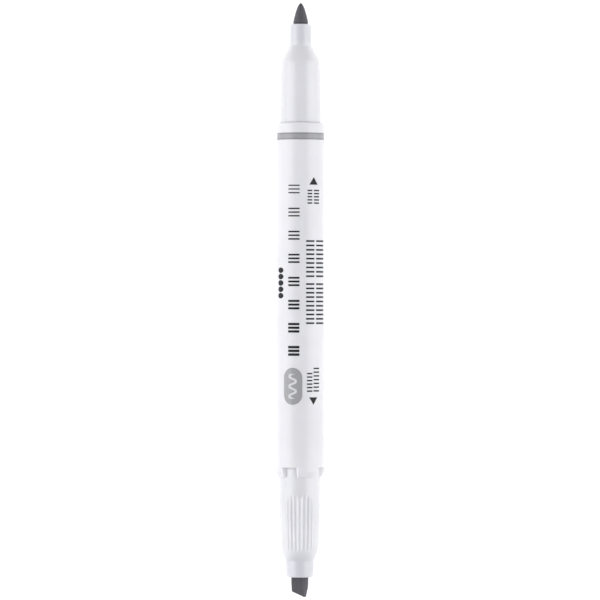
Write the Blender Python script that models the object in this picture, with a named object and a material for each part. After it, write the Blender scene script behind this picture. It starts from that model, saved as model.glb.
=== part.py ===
"""Double-ended felt tip marker with both caps off, lying on its side.

Metres, +Z up. The marker's axis runs along X: the fine end with its bullet nib
points to +X and the bold end with its chisel nib to -X. The printed side of the
barrel faces +Z. The origin is under the middle of the marker, on the surface that
it lies on.

Each end has its own outward direction. Sizes at an end are measured outward along
the axis from that end of the barrel, and the pieces there are built along their own
+X, so the bold end's pieces are turned half round.
"""

import math

import bmesh
import bpy

MM = 0.001

# Whole marker
LENGTH = 129.0 * MM
FINE_REACH = 26.0 * MM
BARREL_LENGTH = 76.85 * MM
BOLD_REACH = LENGTH - FINE_REACH - BARREL_LENGTH

# Clearances left where pieces are pressed into each other
FIT_GAP = 0.25 * MM
NIB_GAP = 0.15 * MM

# How far a cutter reaches past what it cuts
CUT_OVERRUN = 1.0 * MM

# Roundness
SEGMENTS = 32
ARC_STEPS = 4
BODY_STEPS = 8
WELD = 1e-7
SHARP_ANGLE = math.radians(35)

# Barrel: a tube that widens a little towards the bold end
BARREL_FINE_RADIUS = 5.11 * MM
BARREL_BOLD_RADIUS = 5.31 * MM
BARREL_BORE_RADIUS = 4.25 * MM
BORE_LEAD_IN = 0.2 * MM
RIM_ROUND = 0.5 * MM
LUG_COUNT = 4
LUG_LENGTH = 2.06 * MM
LUG_TAPER_LENGTH = 1.2 * MM
LUG_END_RADIUS = 4.5 * MM
NOTCH_ARC = math.radians(33.2)
NOTCH_CENTRE = math.radians(25.4)

# Both sections: a plug inside the barrel and a body outside it
PLUG_RADIUS = BARREL_BORE_RADIUS - FIT_GAP
PLUG_LENGTH = 9.0 * MM
SECTION_BORE_RADIUS = 3.4 * MM
SECTION_BASE_RADIUS = 4.36 * MM

# Fine section
FINE_STRAIGHT = 5.0 * MM
FINE_SHOULDER = 12.9 * MM
FINE_SHOULDER_RADIUS = 4.05 * MM
FINE_SHOULDER_ROUND = 2.2 * MM
FINE_CONE_END = 16.8 * MM
FINE_MOUTH_BACK_RADIUS = 2.36 * MM
FINE_MOUTH_END = 21.4 * MM
FINE_MOUTH_RADIUS = 2.22 * MM
FINE_CAVITY_END = 12.4 * MM

# Bold section
BOLD_STRAIGHT = 5.0 * MM
BOLD_SHOULDER = 15.2 * MM
BOLD_SHOULDER_RADIUS = 4.05 * MM
BOLD_SHOULDER_ROUND = 1.6 * MM
BOLD_CONE_END = 18.0 * MM
BOLD_MOUTH_BACK_RADIUS = 3.05 * MM
BOLD_MOUTH_END = 21.5 * MM
BOLD_MOUTH_RADIUS = 2.9 * MM
BOLD_CAVITY_END = 14.4 * MM
RIB_COUNT = 32
RIB_START = 4.3 * MM
RIB_END = 16.3 * MM
RIB_RUN_OUT = 0.6 * MM
RIB_DEPTH = 0.16 * MM

LIP_ROUND = 0.2 * MM

# Bullet nib: a rod whose tip follows a power curve
BULLET_RADIUS = 1.6 * MM
BULLET_TIP_LENGTH = 4.05 * MM
BULLET_CURVE = 0.54
BULLET_TIP_STEPS = 9

# Chisel nib: a flat bar with a slanted writing edge and a bevel on its back
CHISEL_WIDTH = 4.0 * MM
CHISEL_THICKNESS = 1.4 * MM
CHISEL_SLANT = math.radians(15.4)
CHISEL_BEVEL_LENGTH = 1.9 * MM
CHISEL_EDGE_LAND = 0.85 * MM
CHISEL_SIDE_TAPER = 0.5 * MM
CHISEL_TAPER_LENGTH = 3.0 * MM
CHISEL_ROLL = math.radians(43)

# Ink reservoir: a fibre rod in a film sleeve, with a socket for each nib
WRAP_OUTER_RADIUS = SECTION_BORE_RADIUS - FIT_GAP
WRAP_THICKNESS = 0.15 * MM
CORE_RADIUS = WRAP_OUTER_RADIUS - WRAP_THICKNESS - FIT_GAP
SOCKET_DEPTH = 5.0 * MM

# Places along the axis
FINE_RIM_X = LENGTH / 2 - FINE_REACH
LUG_END_X = FINE_RIM_X - BARREL_LENGTH
RESERVOIR_FINE_X = FINE_RIM_X + FINE_CAVITY_END - FIT_GAP
RESERVOIR_BOLD_X = LUG_END_X - BOLD_CAVITY_END + FIT_GAP

# A flat of the faceted barrel is the lowest part of the marker
AXIS_HEIGHT = BARREL_BOLD_RADIUS * math.cos(math.pi / SEGMENTS)

# Finishes: colour, roughness
WHITE_BARREL = ((0.86, 0.86, 0.88), 0.32)
WHITE_SECTION = ((0.80, 0.80, 0.83), 0.40)
GREY_NIB = ((0.10, 0.10, 0.115), 0.95)
GREY_FIBRE = ((0.22, 0.22, 0.24), 0.95)
CLEAR_FILM = ((0.70, 0.72, 0.74), 0.25)


def clear_scene():
    for thing in list(bpy.data.objects):
        bpy.data.objects.remove(thing)


def finish(name, look):
    """A Principled material from a colour and a roughness."""
    colour, roughness = look
    material = bpy.data.materials.new(name)
    material.use_nodes = True
    shader = material.node_tree.nodes["Principled BSDF"]
    shader.inputs["Base Color"].default_value = (*colour, 1.0)
    shader.inputs["Roughness"].default_value = roughness
    shader.inputs["Metallic"].default_value = 0.0
    return material


def rounded(start, corner, end, radius):
    """Points of an arc that rounds the corner between two straight runs."""
    before = (start[0] - corner[0], start[1] - corner[1])
    after = (end[0] - corner[0], end[1] - corner[1])
    before_length = math.hypot(*before)
    after_length = math.hypot(*after)
    before = (before[0] / before_length, before[1] / before_length)
    after = (after[0] / after_length, after[1] / after_length)
    half_angle = math.acos(before[0] * after[0] + before[1] * after[1]) / 2
    setback = radius / math.tan(half_angle)
    middle = (before[0] + after[0], before[1] + after[1])
    middle_length = math.hypot(*middle)
    to_centre = radius / math.sin(half_angle) / middle_length
    centre = (corner[0] + middle[0] * to_centre, corner[1] + middle[1] * to_centre)
    first = (corner[0] + before[0] * setback, corner[1] + before[1] * setback)
    last = (corner[0] + after[0] * setback, corner[1] + after[1] * setback)
    first_angle = math.atan2(first[1] - centre[1], first[0] - centre[0])
    last_angle = math.atan2(last[1] - centre[1], last[0] - centre[0])
    turn = (last_angle - first_angle + math.pi) % (2 * math.pi) - math.pi
    points = []
    for step in range(ARC_STEPS + 1):
        angle = first_angle + turn * step / ARC_STEPS
        points.append(
            (centre[0] + radius * math.cos(angle), centre[1] + radius * math.sin(angle))
        )
    return points


def turned_mesh(profile, segments=SEGMENTS, phase=0.5):
    """A closed solid of revolution about X from (x, radius) points.

    A profile whose ends lie on the axis makes a solid piece, any other profile is
    closed into a loop and makes a tube. The phase turns the first point of each ring,
    in segments, away from +Z.
    """
    turn = phase * 2 * math.pi / segments
    mesh = bmesh.new()
    verts = [
        mesh.verts.new((x, radius * math.sin(turn), radius * math.cos(turn)))
        for x, radius in profile
    ]
    pairs = list(zip(verts, verts[1:]))
    if profile[0][1] > 0:
        pairs.append((verts[-1], verts[0]))
    edges = [mesh.edges.new(pair) for pair in pairs]
    bmesh.ops.spin(
        mesh,
        geom=verts + edges,
        cent=(0, 0, 0),
        axis=(1, 0, 0),
        angle=2 * math.pi,
        steps=segments,
        use_merge=True,
    )
    bmesh.ops.remove_doubles(mesh, verts=mesh.verts, dist=WELD)
    bmesh.ops.recalc_face_normals(mesh, faces=mesh.faces)
    return mesh


def add_object(name, mesh, look, parent, x=0.0, turned_round=False, roll=0.0):
    """An object from a bmesh, placed along the marker's axis."""
    data = bpy.data.meshes.new(name)
    mesh.to_mesh(data)
    mesh.free()
    data.shade_smooth()
    data.set_sharp_from_angle(angle=SHARP_ANGLE)
    data.materials.append(finish(name, look))
    thing = bpy.data.objects.new(name, data)
    thing.parent = parent
    thing.location = (x, 0, 0)
    thing.rotation_euler = (roll, 0, math.pi if turned_round else 0)
    bpy.context.scene.collection.objects.link(thing)
    return thing


def add_cutter(name, mesh, target):
    """A hidden solid that is cut out of the target, in the target's own space."""
    data = bpy.data.meshes.new(name)
    mesh.to_mesh(data)
    mesh.free()
    cutter = bpy.data.objects.new(name, data)
    cutter.parent = target
    cutter.hide_render = True
    cutter.display_type = "WIRE"
    bpy.context.scene.collection.objects.link(cutter)
    cut = target.modifiers.new(name, "BOOLEAN")
    cut.operation = "DIFFERENCE"
    cut.solver = "EXACT"
    cut.object = cutter
    return cutter


def wedge(mesh, centre, arc, inner, outer, x_low, x_high):
    """Adds a closed wedge between two radial planes, as long as x_low to x_high."""
    corners = [
        (inner, centre - arc / 2),
        (outer, centre - arc / 2),
        (outer, centre + arc / 2),
        (inner, centre + arc / 2),
    ]
    rings = []
    for x in (x_low, x_high):
        ring = []
        for radius, angle in corners:
            point = (x, radius * math.sin(angle), radius * math.cos(angle))
            ring.append(mesh.verts.new(point))
        rings.append(ring)
    faces = [mesh.faces.new(rings[0]), mesh.faces.new(rings[1])]
    for side in range(len(corners)):
        after = (side + 1) % len(corners)
        faces.append(
            mesh.faces.new(
                (rings[0][side], rings[0][after], rings[1][after], rings[1][side])
            )
        )
    bmesh.ops.recalc_face_normals(mesh, faces=faces)


def bar_mesh(width, thickness, x_low, x_high):
    """A box along X, centred on the axis: width along Y, thickness along Z."""
    mesh = bmesh.new()
    bmesh.ops.create_cube(mesh, size=1.0)
    for vert in mesh.verts:
        along = x_low if vert.co.x < 0 else x_high
        vert.co = (along, vert.co.y * width, vert.co.z * thickness)
    return mesh


def make_barrel(marker):
    """The tube. Its bold end has four lugs with notches between them."""
    taper_start = -BARREL_LENGTH + LUG_TAPER_LENGTH
    outer_fine = (0.0, BARREL_FINE_RADIUS)
    rim_inner = (0.0, BARREL_BORE_RADIUS + BORE_LEAD_IN)
    outer_bold = (taper_start, BARREL_BOLD_RADIUS)
    profile = [(-BORE_LEAD_IN, BARREL_BORE_RADIUS), rim_inner]
    profile += rounded(rim_inner, outer_fine, outer_bold, RIM_ROUND)
    profile += [
        outer_bold,
        (-BARREL_LENGTH, LUG_END_RADIUS),
        (-BARREL_LENGTH, BARREL_BORE_RADIUS),
    ]
    barrel = add_object(
        "barrel", turned_mesh(profile), WHITE_BARREL, marker, x=FINE_RIM_X
    )
    notches = bmesh.new()
    for lug in range(LUG_COUNT):
        wedge(
            notches,
            NOTCH_CENTRE + lug * 2 * math.pi / LUG_COUNT,
            NOTCH_ARC,
            BARREL_BORE_RADIUS - CUT_OVERRUN,
            BARREL_BOLD_RADIUS + CUT_OVERRUN,
            -BARREL_LENGTH - CUT_OVERRUN,
            -BARREL_LENGTH + LUG_LENGTH,
        )
    add_cutter("barrel_notches", notches, barrel)


def section_outline(base, shoulder, cone_end, mouth, shoulder_round, straight):
    """Outer points of a section from its plug's end to its mouth.

    The body keeps its radius for the straight length, then narrows along a parabola
    to the shoulder, and a cone leads to the mouth, whose lip is rounded.
    """
    points = [
        (-PLUG_LENGTH, PLUG_RADIUS),
        (FIT_GAP, PLUG_RADIUS),
        (FIT_GAP, base),
    ]
    shoulder_x, shoulder_radius = shoulder
    for step in range(BODY_STEPS):
        share = step / BODY_STEPS
        x = straight + (shoulder_x - straight) * share
        points.append((x, base - (base - shoulder_radius) * share**2))
    points += rounded(points[-1], shoulder, cone_end, shoulder_round)
    points.append(cone_end)
    points += rounded(cone_end, mouth, (mouth[0], 0.0), LIP_ROUND)
    return points


def make_fine_section(marker):
    """The fine end's section, a tube round the bullet nib's rod."""
    bore = BULLET_RADIUS + NIB_GAP
    profile = section_outline(
        SECTION_BASE_RADIUS,
        (FINE_SHOULDER, FINE_SHOULDER_RADIUS),
        (FINE_CONE_END, FINE_MOUTH_BACK_RADIUS),
        (FINE_MOUTH_END, FINE_MOUTH_RADIUS),
        FINE_SHOULDER_ROUND,
        FINE_STRAIGHT,
    )
    profile += [
        (FINE_MOUTH_END, bore),
        (FINE_CAVITY_END, bore),
        (FINE_CAVITY_END, SECTION_BORE_RADIUS),
        (-PLUG_LENGTH, SECTION_BORE_RADIUS),
    ]
    mesh = turned_mesh(profile)
    add_object("fine_section", mesh, WHITE_SECTION, marker, x=FINE_RIM_X)


def press_ribs(mesh):
    """Presses every second meridian of the ribbed stretch inward, which leaves ribs."""
    pitch = math.pi / RIB_COUNT
    for vert in mesh.verts:
        radius = math.hypot(vert.co.y, vert.co.z)
        outside = radius > SECTION_BORE_RADIUS + RIB_DEPTH
        in_ribs = RIB_START + WELD < vert.co.x < RIB_END - WELD
        meridian = round(math.atan2(vert.co.y, vert.co.z) / pitch)
        if outside and in_ribs and meridian % 2 == 0:
            vert.co.y *= (radius - RIB_DEPTH) / radius
            vert.co.z *= (radius - RIB_DEPTH) / radius


def make_bold_section(marker):
    """The bold end's section: ribbed outside, with a slot for the flat nib."""
    outline = section_outline(
        SECTION_BASE_RADIUS,
        (BOLD_SHOULDER, BOLD_SHOULDER_RADIUS),
        (BOLD_CONE_END, BOLD_MOUTH_BACK_RADIUS),
        (BOLD_MOUTH_END, BOLD_MOUTH_RADIUS),
        BOLD_SHOULDER_ROUND,
        BOLD_STRAIGHT,
    )
    rib_stations = [RIB_START, RIB_START + RIB_RUN_OUT, RIB_END - RIB_RUN_OUT, RIB_END]
    for station in rib_stations:
        after = next(i for i, point in enumerate(outline) if point[0] > station)
        (x0, r0), (x1, r1) = outline[after - 1], outline[after]
        radius = r0 + (r1 - r0) * (station - x0) / (x1 - x0)
        outline.insert(after, (station, radius))
    profile = outline + [
        (BOLD_MOUTH_END, 0.0),
    ]
    cavity = [
        (BOLD_CAVITY_END, 0.0),
        (BOLD_CAVITY_END, SECTION_BORE_RADIUS),
        (-PLUG_LENGTH, SECTION_BORE_RADIUS),
    ]
    mesh = turned_mesh(cavity + profile, segments=2 * RIB_COUNT, phase=0.0)
    press_ribs(mesh)
    section = add_object(
        "bold_section", mesh, WHITE_SECTION, marker, x=LUG_END_X, turned_round=True
    )
    slot = bar_mesh(
        CHISEL_WIDTH + 2 * NIB_GAP,
        CHISEL_THICKNESS + 2 * NIB_GAP,
        BOLD_CAVITY_END - CUT_OVERRUN,
        BOLD_MOUTH_END + CUT_OVERRUN,
    )
    cutter = add_cutter("bold_section_slot", slot, section)
    cutter.rotation_euler = (CHISEL_ROLL, 0, 0)


def make_bullet_nib(marker):
    """A fibre rod with a rounded, tapering tip, from the reservoir to the tip."""
    back = FINE_CAVITY_END - FIT_GAP - SOCKET_DEPTH
    profile = [(back, 0.0), (back, BULLET_RADIUS)]
    for step in range(BULLET_TIP_STEPS + 1):
        share = 1 - step / BULLET_TIP_STEPS
        x = FINE_REACH - BULLET_TIP_LENGTH * share**2
        profile.append((x, BULLET_RADIUS * share ** (2 * BULLET_CURVE)))
    add_object("bullet_nib", turned_mesh(profile), GREY_NIB, marker, x=FINE_RIM_X)


def make_chisel_nib(marker):
    """A flat fibre bar. Its tip is slanted across its width and bevelled behind."""
    back = BOLD_CAVITY_END - FIT_GAP - SOCKET_DEPTH
    mesh = bar_mesh(CHISEL_WIDTH, CHISEL_THICKNESS, back, BOLD_REACH)
    middle = BOLD_REACH - CHISEL_TAPER_LENGTH
    bmesh.ops.bisect_plane(
        mesh,
        geom=mesh.verts[:] + mesh.edges[:] + mesh.faces[:],
        plane_co=(middle, 0, 0),
        plane_no=(1, 0, 0),
    )
    for vert in mesh.verts:
        if vert.co.x > middle + WELD:
            vert.co.y *= 1 - CHISEL_SIDE_TAPER / CHISEL_WIDTH
    half_width = (CHISEL_WIDTH - CHISEL_SIDE_TAPER) / 2
    front = CHISEL_THICKNESS / 2
    slant = math.tan(CHISEL_SLANT)
    cut_tip(mesh, (BOLD_REACH, half_width, front), (1, -slant, 0))
    bevel = CHISEL_BEVEL_LENGTH / (CHISEL_THICKNESS - CHISEL_EDGE_LAND)
    land = front - CHISEL_EDGE_LAND
    cut_tip(mesh, (BOLD_REACH, half_width, land), (1, -slant, -bevel))
    add_object(
        "chisel_nib",
        mesh,
        GREY_NIB,
        marker,
        x=LUG_END_X,
        turned_round=True,
        roll=CHISEL_ROLL,
    )


def cut_tip(mesh, point, normal):
    """Cuts off what lies beyond a plane and closes the cut."""
    cut = bmesh.ops.bisect_plane(
        mesh,
        geom=mesh.verts[:] + mesh.edges[:] + mesh.faces[:],
        plane_co=point,
        plane_no=normal,
        clear_outer=True,
    )
    rim = [item for item in cut["geom_cut"] if isinstance(item, bmesh.types.BMEdge)]
    bmesh.ops.contextual_create(mesh, geom=rim)
    bmesh.ops.recalc_face_normals(mesh, faces=mesh.faces)


def make_reservoir(marker):
    """The ink-holding fibre rod, with a socket for each nib, and its film sleeve."""
    bold, fine = RESERVOIR_BOLD_X, RESERVOIR_FINE_X
    socket = BULLET_RADIUS + NIB_GAP
    socket_end = fine - SOCKET_DEPTH - FIT_GAP
    core_profile = [
        (bold, 0.0),
        (bold, CORE_RADIUS),
        (fine, CORE_RADIUS),
        (fine, socket),
        (socket_end, socket),
        (socket_end, 0.0),
    ]
    core = add_object("reservoir_core", turned_mesh(core_profile), GREY_FIBRE, marker)
    slot = bar_mesh(
        CHISEL_WIDTH + 2 * NIB_GAP,
        CHISEL_THICKNESS + 2 * NIB_GAP,
        bold - CUT_OVERRUN,
        bold + SOCKET_DEPTH + FIT_GAP,
    )
    cutter = add_cutter("reservoir_core_slot", slot, core)
    cutter.rotation_euler = (-CHISEL_ROLL, 0, 0)
    wrap_inner = WRAP_OUTER_RADIUS - WRAP_THICKNESS
    wrap_profile = [
        (bold, wrap_inner),
        (bold, WRAP_OUTER_RADIUS),
        (fine, WRAP_OUTER_RADIUS),
        (fine, wrap_inner),
    ]
    add_object("reservoir_wrap", turned_mesh(wrap_profile), CLEAR_FILM, marker)


def main():
    clear_scene()
    marker = bpy.data.objects.new("marker", None)
    marker.location = (0, 0, AXIS_HEIGHT)
    bpy.context.scene.collection.objects.link(marker)
    make_barrel(marker)
    make_fine_section(marker)
    make_bold_section(marker)
    make_bullet_nib(marker)
    make_chisel_nib(marker)
    make_reservoir(marker)
    bpy.context.view_layer.update()


main()
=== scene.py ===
"""Looks of a double-ended felt tip marker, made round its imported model.

Metres, +Z up. The marker lies along X: the fine end with its bullet nib points to +X
and the bold end with its chisel nib to -X. The printed side of the barrel faces +Z.

Sizes at an end are measured outward along the axis from that end of the barrel.
Print is drawn flat first, in millimetres: X runs along the barrel, Y round it from its
top line towards +Y, and Z stands off its surface. It is then bent onto the barrel.
"""

import math
from typing import NamedTuple

import bmesh
import bpy
from bpy.props import FloatProperty, FloatVectorProperty, IntProperty, PointerProperty
from mathutils import Matrix, Vector


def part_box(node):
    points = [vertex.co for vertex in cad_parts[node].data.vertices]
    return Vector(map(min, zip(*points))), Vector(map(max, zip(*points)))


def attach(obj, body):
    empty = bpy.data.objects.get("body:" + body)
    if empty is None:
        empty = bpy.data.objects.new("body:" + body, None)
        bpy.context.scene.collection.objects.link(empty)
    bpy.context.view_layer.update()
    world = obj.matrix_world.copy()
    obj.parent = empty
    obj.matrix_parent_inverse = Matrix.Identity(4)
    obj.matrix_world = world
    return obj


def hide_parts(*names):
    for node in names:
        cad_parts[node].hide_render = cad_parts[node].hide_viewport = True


bl_info = {
    "name": "Double-ended felt tip marker",
    "version": (1, 0, 0),
    "blender": (4, 5, 0),
    "location": "View3D > Sidebar > Marker",
    "description": "Makes the marker's pieces, its print and a pale studio round the packed model",
    "category": "Object",
}

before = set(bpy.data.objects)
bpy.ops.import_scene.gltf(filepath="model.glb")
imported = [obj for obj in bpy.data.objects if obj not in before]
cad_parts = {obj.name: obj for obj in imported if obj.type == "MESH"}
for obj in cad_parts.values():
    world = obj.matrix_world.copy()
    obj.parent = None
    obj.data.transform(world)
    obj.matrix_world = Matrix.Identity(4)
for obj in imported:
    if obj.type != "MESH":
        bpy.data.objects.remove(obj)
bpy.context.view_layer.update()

MM = 0.001

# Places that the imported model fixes
BARREL_LOW, BARREL_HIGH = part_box("barrel")
AXIS_HEIGHT = (BARREL_LOW.z + BARREL_HIGH.z) / 2
BARREL_RADIUS = (BARREL_HIGH.z - BARREL_LOW.z) / 2
FINE_RIM = BARREL_HIGH.x
LUG_END = BARREL_LOW.x
FINE_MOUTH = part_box("fine_section")[1].x
BOLD_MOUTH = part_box("bold_section")[0].x
PLUG_LENGTH = FINE_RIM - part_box("fine_section")[0].x
BULLET_BACK, BULLET_TIP = (corner.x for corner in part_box("bullet_nib"))
CHISEL_TIP, CHISEL_BACK = (corner.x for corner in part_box("chisel_nib"))

SHARP_ANGLE = math.radians(40)
WELD = 1e-7

# How deep printed ink reaches into the barrel
INK_ROOT = 0.02 * MM


# --- Sizes and colours that a user would change ---


def length(name, description, default):
    """A length, given in millimetres."""
    return FloatProperty(
        name=name, description=description, default=default * MM, unit="LENGTH", precision=5
    )


def angle(name, description, default):
    """An angle, given in degrees."""
    return FloatProperty(
        name=name, description=description, default=math.radians(default), unit="ROTATION"
    )


def colour(name, description, default):
    """A linear colour."""
    return FloatVectorProperty(
        name=name, description=description, default=default, size=3, subtype="COLOR",
        min=0.0, max=1.0,
    )


def share(name, description, default):
    """A plain number from 0 up."""
    return FloatProperty(name=name, description=description, default=default, min=0.0)


def count(name, description, default):
    """How many of something there are."""
    return IntProperty(name=name, description=description, default=default, min=1)


class BarrelSizes(bpy.types.PropertyGroup):
    """The barrel, its lugs and its finish"""

    taper: length("Taper", "How much less the radius is at the fine end", 0.2)
    bore: length("Bore radius", "Inner radius of the tube", 4.25)
    lead_in: length("Lead-in", "Chamfer at the bore's mouth", 0.2)
    rim_round: length("Rim rounding", "Radius of the fine rim's outer edge", 0.6)
    lug_length: length("Lug length", "How far a lug stands out past the notches", 2.06)
    lug_taper: length("Lug taper", "Length over which a lug narrows to its end", 1.2)
    lug_radius: length("Lug end radius", "Outer radius at the end of a lug", 4.74)
    lug_bore: length("Lug bore", "Inner radius under the lugs", 4.37)
    lugs: count("Lugs", "Number of lugs at the bold end", 4)
    notch_arc: angle("Notch arc", "Angle that one notch takes inside the wall", 33.2)
    notch_flare: angle("Notch flare", "How much wider a notch is outside than inside", 12.0)
    notch_centre: angle("Notch place", "Angle of the first notch from the top", 25.4)
    edge_round: length("Edge rounding", "Rounding of the moulded edges", 0.07)
    notch_round: length("Notch rounding", "Rounding of the notches' outer edges", 0.34)
    colour: colour("Colour", "Colour of the white plastic", (0.79, 0.788, 0.822))
    roughness: share("Roughness", "Mean roughness of the plastic", 0.32)
    light_depth: length("Light depth", "How deep light spreads in the plastic", 0.3)
    gloss: share("Gloss", "Strength of the plastic's clear skin", 0.2)


class SectionSizes(bpy.types.PropertyGroup):
    """The two sections, which hold the nibs, and their finish"""

    plug_radius: length("Plug radius", "Radius of the plug inside the barrel", 4.0)
    bore: length("Bore radius", "Inner radius round the reservoir", 3.4)
    body_radius: length("Body radius", "Radius next to the barrel", 4.357)
    joint_gap: length("Joint gap", "Gap between the barrel's end and the body", 0.03)
    lip_round: length("Lip rounding", "Rounding of the mouth's outer edge", 0.2)
    bold_lip: length("Bold lip", "How far the bold mouth stands out past the CAD's", 0.3)
    colour: colour("Colour", "Colour of the plastic", (0.75, 0.75, 0.785))
    # The mouth colour is painted shade: the dark nib seen through the thin wall
    mouth_shade_colour: colour("Mouth colour", "Colour of the thin wall", (0.67, 0.675, 0.722))
    roughness: share("Roughness", "Mean roughness of the plastic", 0.34)
    light_depth: length("Light depth", "How deep light spreads in the plastic", 0.1)
    gloss: share("Gloss", "Strength of the plastic's clear skin", 0.8)
    ribs: count("Ribs", "Number of ribs round the bold section", 32)
    rib_start: length("Rib start", "Where the grooves begin", 3.7)
    rib_run_out: length("Rib run-out", "Length over which a groove fades in", 1.4)
    rib_depth: length("Groove depth", "Depth of the grooves between ribs", 0.21)


class NibSizes(bpy.types.PropertyGroup):
    """The bullet nib, the chisel nib and their felt"""

    bullet_radius: length("Bullet radius", "Radius of the bullet nib's rod", 1.6)
    bullet_tip: length("Bullet tip", "Length of the bullet nib's taper", 4.05)
    bullet_curve: share("Bullet curve", "Power of the tip's outline", 0.54)
    chisel_short: length("Chisel setback", "How far its tip stays behind the CAD's", 0.1)
    chisel_width: length("Chisel width", "Width of the broad line", 4.0)
    chisel_thickness: length("Chisel thickness", "Width of the thin line", 1.4)
    chisel_slant: angle("Chisel slant", "Slant of the writing edge", 15.4)
    chisel_bevel: length("Chisel bevel", "Length of the bevel behind the edge", 1.9)
    chisel_land: length("Chisel land", "Thickness left at the writing edge", 0.85)
    chisel_narrowing: length("Narrowing", "How much the tip is narrower", 0.5)
    chisel_taper: length("Taper length", "Length over which it narrows", 3.0)
    chisel_roll: angle("Chisel roll", "Turn of the flat nib about the axis", 43.0)
    edge_round: length("Edge rounding", "Rounding of the felt's edges", 0.28)
    felt: colour("Felt", "Colour of the inked felt", (0.07, 0.069, 0.082))
    # The wet felt colour serves for gathered ink and also for the painted shade round the nib's seat
    wet_and_shade_felt: colour("Wet felt", "Colour where ink gathers", (0.03, 0.029, 0.038))
    chisel_tone: share("Chisel tone", "Brightness of the chisel's felt to the bullet's", 0.68)


class PrintSizes(bpy.types.PropertyGroup):
    """The plain marks printed on the barrel"""

    thickness: length("Ink thickness", "How far the ink stands off", 0.012)
    band_start: length("Band start", "Distance of the band from the fine rim", 2.27)
    band_width: length("Band width", "Width of the grey band", 1.49)
    hatches: count("Hatches", "Number of hatched samples, from thin to thick", 8)
    black: colour("Black", "Colour of the black ink", (0.006, 0.006, 0.008))
    grey: colour("Grey", "Colour of the band and the badge", (0.315, 0.315, 0.335))
    pale: colour("Pale", "Colour of the wave on the badge", (0.64, 0.64, 0.67))
    grey_gloss: share("Grey gloss", "Strength of the grey ink's clear skin", 0.9)


class StageSettings(bpy.types.PropertyGroup):
    """The floor, the lights and the camera"""

    camera_height: length("Camera height", "Height above the marker's axis", 1000.0)
    camera_offset: length("Camera offset", "How far it stands towards +Y", 0.05)
    camera_turn: angle("Camera turn", "Its turn about its view", -89.9)
    field: length("Field", "Width of what the camera sees", 130.35)
    left_light: share("Left light", "Power of the light beyond +Y, in watts", 3.45)
    right_light: share("Right light", "Power of the light beyond -Y, in watts", 3.05)
    light_height: angle("Light height", "Angle of both lights above the floor", 28.0)
    zenith: share("Zenith", "Strength of the sky straight above", 0.53)
    horizon: share("Horizon", "Strength of the sky at the horizon", 0.6)
    floor_glow: share("Floor glow", "Strength of the light table", 0.25)


# --- Node trees ---


class Graph:
    """A node tree that is being wired up."""

    def __init__(self, tree):
        self.tree = tree
        tree.nodes.clear()

    def node(self, kind, **settings):
        made = self.tree.nodes.new(kind)
        for key, value in settings.items():
            setattr(made, key, value)
        return made

    def feed(self, socket, value):
        """Links a socket to another, or sets its own value."""
        if isinstance(value, bpy.types.NodeSocket):
            self.tree.links.new(value, socket)
        else:
            socket.default_value = value

    def wire(self, made, **inputs):
        """Feeds a node's inputs, named with underscores for spaces, and gives its result."""
        for name, value in inputs.items():
            self.feed(made.inputs[name.replace("_", " ")], value)
        return made.outputs[0]

    def maths(self, operation, *values):
        made = self.node("ShaderNodeMath", operation=operation)
        for socket, value in zip(made.inputs, values):
            self.feed(socket, value)
        return made.outputs[0]

    def times(self, first, second):
        return self.maths("MULTIPLY", first, second)

    def parts(self, vector):
        """X, Y and Z of a vector."""
        made = self.node("ShaderNodeSeparateXYZ")
        self.wire(made, Vector=vector)
        return made.outputs

    def span(self, value, low, high, to_low=0.0, to_high=1.0, smooth=False, clamp=True):
        """Maps a value from one range onto another."""
        made = self.node("ShaderNodeMapRange", clamp=clamp)
        made.interpolation_type = "SMOOTHSTEP" if smooth else "LINEAR"
        for socket, number in zip(made.inputs, (value, low, high, to_low, to_high)):
            self.feed(socket, number)
        return made.outputs[0]

    def blend(self, amount, first, second):
        """Mixes two colours."""
        made = self.node("ShaderNodeMix", data_type="RGBA")
        self.wire(made, Factor=amount)
        for name, value in (("A", first), ("B", second)):
            socket = next(s for s in made.inputs if s.name == name and s.type == "RGBA")
            tint = value if isinstance(value, bpy.types.NodeSocket) else (*value, 1.0)
            self.feed(socket, tint)
        return next(s for s in made.outputs if s.type == "RGBA")

    def noise(self, place, size, detail=2.0, roughness=0.5):
        """Noise whose features are about this many metres across."""
        made = self.node("ShaderNodeTexNoise")
        return self.wire(made, Vector=place, Scale=1.0 / size, Detail=detail, Roughness=roughness)

    def bump(self, height, depth):
        return self.wire(self.node("ShaderNodeBump"), Height=height, Distance=depth)


class Finish(Graph):
    """A material with one Principled shader, fed by Object coordinates."""

    def __init__(self, name):
        self.material = bpy.data.materials.new(name)
        self.material.use_nodes = True
        super().__init__(self.material.node_tree)
        self.place = self.node("ShaderNodeTexCoord").outputs["Object"]
        self.shader = self.node("ShaderNodeBsdfPrincipled")
        output = self.node("ShaderNodeOutputMaterial")
        self.feed(output.inputs["Surface"], self.shader.outputs[0])

    def set(self, **values):
        """Feeds the shader's sockets."""
        self.wire(self.shader, **values)
        return self.material

    def along(self):
        """The place along the marker."""
        return self.parts(self.place)["X"]

    def outward(self):
        """The distance from the marker's middle, along it."""
        return self.maths("ABSOLUTE", self.along())

    def mapped(self, kind="POINT", **values):
        """Object coordinates that are moved, turned or scaled."""
        made = self.node("ShaderNodeMapping", vector_type=kind)
        return self.wire(made, Vector=self.place, **values)

    def lengthwise(self, squeeze):
        """Object coordinates squeezed along the marker, which draws noise out into fibres."""
        return self.mapped(Location=(0.0, 0.0, -AXIS_HEIGHT), Scale=(squeeze, 1.0, 1.0))


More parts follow.
